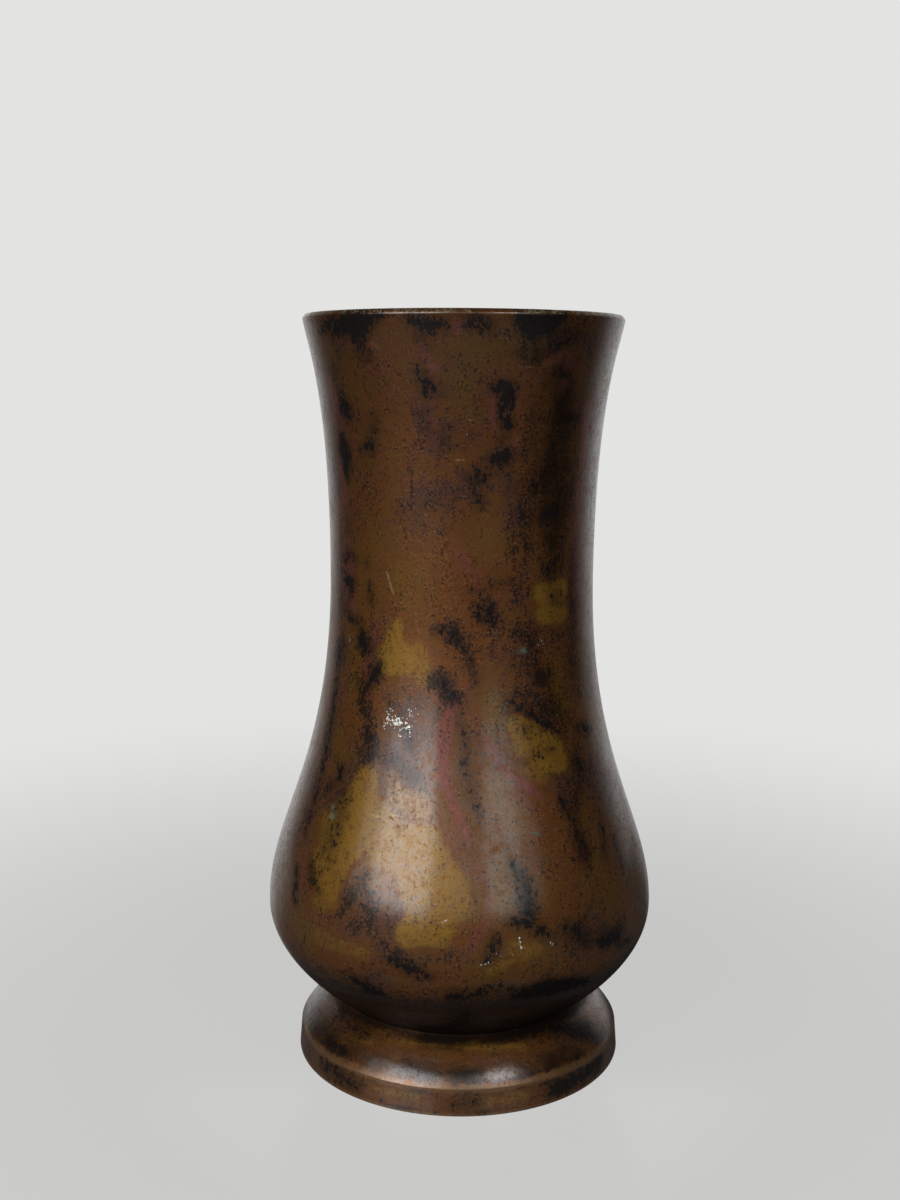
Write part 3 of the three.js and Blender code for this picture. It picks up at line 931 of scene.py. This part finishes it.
class VASE_OT_solder_seam(bpy.types.Operator):
    """Models the ring of solder under the plate"""

    bl_idname = "vase.solder_seam"
    bl_label = "Solder seam"

    def execute(self, context):
        leg = SEAM_HIGH.z - SEAM_LOW.z
        top = at(SEAM_HIGH.x, SEAM_HIGH.z)
        inner, low = top - at(leg, 0), top - at(0, leg)
        hollow = top - at(leg, leg) * SEAM_HOLLOW
        pulled = [end.lerp(hollow, SEAM_PULL) for end in (inner, low)]
        face = interpolate_bezier(inner, *pulled, low, SEAM_POINTS)
        piece = turned_piece("solder_ring", [*face, top], SEAM_STEPS)
        dress(piece, "solder_seam", solder_finish(context.scene.vase_finish))
        return {"FINISHED"}


# Each lamp's degrees to the right of the front and up, its distance and size in metres, and watts
LAMPS = {
    "left lamp": (-36, 24, 1.1, (0.71, 0.84), 7.4),
    "left lamp, soft edge": (-43, 24, 1.12, (1.06, 0.84), 4.6),
    "middle lamp": (-2, 24, 1.1, (0.50, 0.84), 1.15),
    "right lamp": (27, 24, 1.1, (0.42, 0.84), 1.6),
    "right lamp, soft edge": (31, 24, 1.12, (0.76, 0.84), 1.5),
    "high right lamp": (34, 41, 1.1, (0.34, 0.24), 1.6),
}
LAMP_AIM = Vector((0, 0, 0.12))
PALE = (1, 1, 0.99, 1)
WALL_LEVEL = 0.77
ROOM_LEVEL = 0.03
FLOOR_RADIUS = 0.7
FLOOR_PAINT = (0.16, 0.159, 0.156, 1)
FLOOR_POLISH = 0.15
POLISH_ENDS = (0.08, 0.12)  # metres from the middle
POLISH_FRONT = (-0.05, -0.02)  # metres towards the back
NEAR_GLOW = 0.72  # share of the floor's glow under the vase
GLOW_FULL = (0.1, 0.5)  # metres from the middle
CAMERA_PLACE = (-3.8 * MM, -448.5 * MM, 225.1 * MM)
CAMERA_TILT = math.radians(90 - 9.14)
CAMERA_ROLL = math.radians(0.37)
LENS = 41.26  # for a sensor 36 wide


class VASE_OT_stage(bpy.types.Operator):
    """Sets up the floor, the pale surroundings, the soft lamps and the camera"""

    bl_idname = "vase.stage"
    bl_label = "Stage"

    def execute(self, context):
        make_floor()
        make_world(context.scene)
        for name, setting in LAMPS.items():
            make_lamp(name, *setting)
        make_camera(context.scene)
        return {"FINISHED"}


def shown_background(f, way, spread, lean):
    """1 where the pale background is seen: always by the camera, and behind the vase by a reflection.

    It starts where way goes back by spread. On the right, lean is added to how far way goes back.
    """
    side, back = (f.node("ShaderNodeSeparateXYZ", None, {0: way}, output=name) for name in "XY")
    behind = f.step(back + f.step(side, -0.2, 0.5) * lean, spread, spread + 0.5)
    names = ("Is Camera Ray", "Is Glossy Ray", "Is Transmission Ray")
    camera, glossy, through = (f.node("ShaderNodeLightPath", output=name) for name in names)
    return camera + (glossy + through) * behind


def make_floor():
    """A pale disc that keeps the vase's shadow, a little polished in front of the foot."""
    deselect()
    bpy.ops.mesh.primitive_circle_add(vertices=96, radius=FLOOR_RADIUS, fill_type="NGON")
    floor = bpy.context.object
    floor.name = "floor"
    f = Finish(bpy.data.materials.new("floor"))
    place = {0: f.place}
    reach = f.node("ShaderNodeVectorMath", {"operation": "LENGTH"}, place, output="Value")
    back = f.node("ShaderNodeSeparateXYZ", None, place, output="Y")
    way = f.node("ShaderNodeVectorMath", {"operation": "NORMALIZE"}, place)
    paint = f.node("ShaderNodeBsdfDiffuse", None, {"Color": FLOOR_PAINT})
    polish = f.node("ShaderNodeBsdfGlossy", None, {"Color": (1, 1, 1, 1), "Roughness": 0.2})
    near = 1 - f.step(reach, *POLISH_ENDS)
    polished = near * (1 - f.step(back, *POLISH_FRONT)) * FLOOR_POLISH
    paint = f.node("ShaderNodeMixShader", None, {0: polished, 1: paint, 2: polish})
    glow = f.node("ShaderNodeEmission", None, {"Color": PALE, "Strength": WALL_LEVEL})
    shown = shown_background(f, way, spread=0.25, lean=-0.3)
    shown = (f.step(reach, *GLOW_FULL) * (1 - NEAR_GLOW) + NEAR_GLOW) * shown
    surface = f.node("ShaderNodeMixShader", None, {0: shown, 1: paint, 2: glow})
    f.node("ShaderNodeOutputMaterial", None, {"Surface": surface})
    floor.data.materials.append(f.owner)


def make_world(scene):
    """Pale for the camera. A reflection shows that wall behind the vase, and a dim room in front."""
    scene.world = bpy.data.worlds.new("studio")
    f = Finish(scene.world, place="Generated")
    shown = shown_background(f, f.place, spread=0.5, lean=0.16)
    level = ROOM_LEVEL + shown * (WALL_LEVEL - ROOM_LEVEL)
    sky = f.node("ShaderNodeBackground", None, {"Color": PALE, "Strength": level})
    f.node("ShaderNodeOutputWorld", None, {"Surface": sky})


def make_lamp(name, azimuth, elevation, distance, size, watts):
    """A soft rectangular lamp that faces the vase."""
    turn, rise = math.radians(azimuth), math.radians(elevation)
    reach, up = math.cos(rise), math.sin(rise)
    away = Vector((math.sin(turn) * reach, -math.cos(turn) * reach, up))
    data = bpy.data.lights.new(name, "AREA")
    data.shape = "RECTANGLE"
    data.size, data.size_y = size
    data.energy = watts
    lamp = bpy.data.objects.new(name, data)
    lamp.location = LAMP_AIM + away * distance
    lamp.rotation_euler = away.to_track_quat("Z", "Y").to_euler()
    bpy.context.scene.collection.objects.link(lamp)


def make_camera(scene):
    data = bpy.data.cameras.new("camera")
    data.lens = LENS
    camera = bpy.data.objects.new("camera", data)
    turn = Matrix.Rotation(CAMERA_TILT, 4, "X") @ Matrix.Rotation(CAMERA_ROLL, 4, "Z")
    camera.matrix_world = Matrix.Translation(CAMERA_PLACE) @ turn
    scene.collection.objects.link(camera)
    scene.camera = camera
    scene.view_settings.view_transform = "Standard"


class VASE_PT_pieces(bpy.types.Panel):
    """Lists the pieces of the vase, its sizes and its colours"""

    bl_idname = "VASE_PT_pieces"
    bl_label = "Bronze vase"
    bl_space_type = "VIEW_3D"
    bl_region_type = "UI"
    bl_category = "Vase"

    def draw(self, context):
        for operator in OPERATORS:
            self.layout.operator(operator.bl_idname)
        for group in (context.scene.vase_sizes, context.scene.vase_finish):
            box = self.layout.box()
            for name in group.__annotations__:
                box.prop(group, name)


OPERATORS = (VASE_OT_stage, VASE_OT_cast_body, VASE_OT_base_plate, VASE_OT_solder_seam)
CLASSES = (VaseSizes, VaseFinish, *OPERATORS, VASE_PT_pieces)


def register():
    for made in CLASSES:
        bpy.utils.register_class(made)
    bpy.types.Scene.vase_sizes = PointerProperty(type=VaseSizes)
    bpy.types.Scene.vase_finish = PointerProperty(type=VaseFinish)


def unregister():
    del bpy.types.Scene.vase_finish
    del bpy.types.Scene.vase_sizes
    for made in reversed(CLASSES):
        bpy.utils.unregister_class(made)


def main():
    register()
    bpy.ops.vase.stage()
    bpy.ops.vase.cast_body()
    bpy.ops.vase.base_plate()
    bpy.ops.vase.solder_seam()


if __name__ == "__main__":
    main()
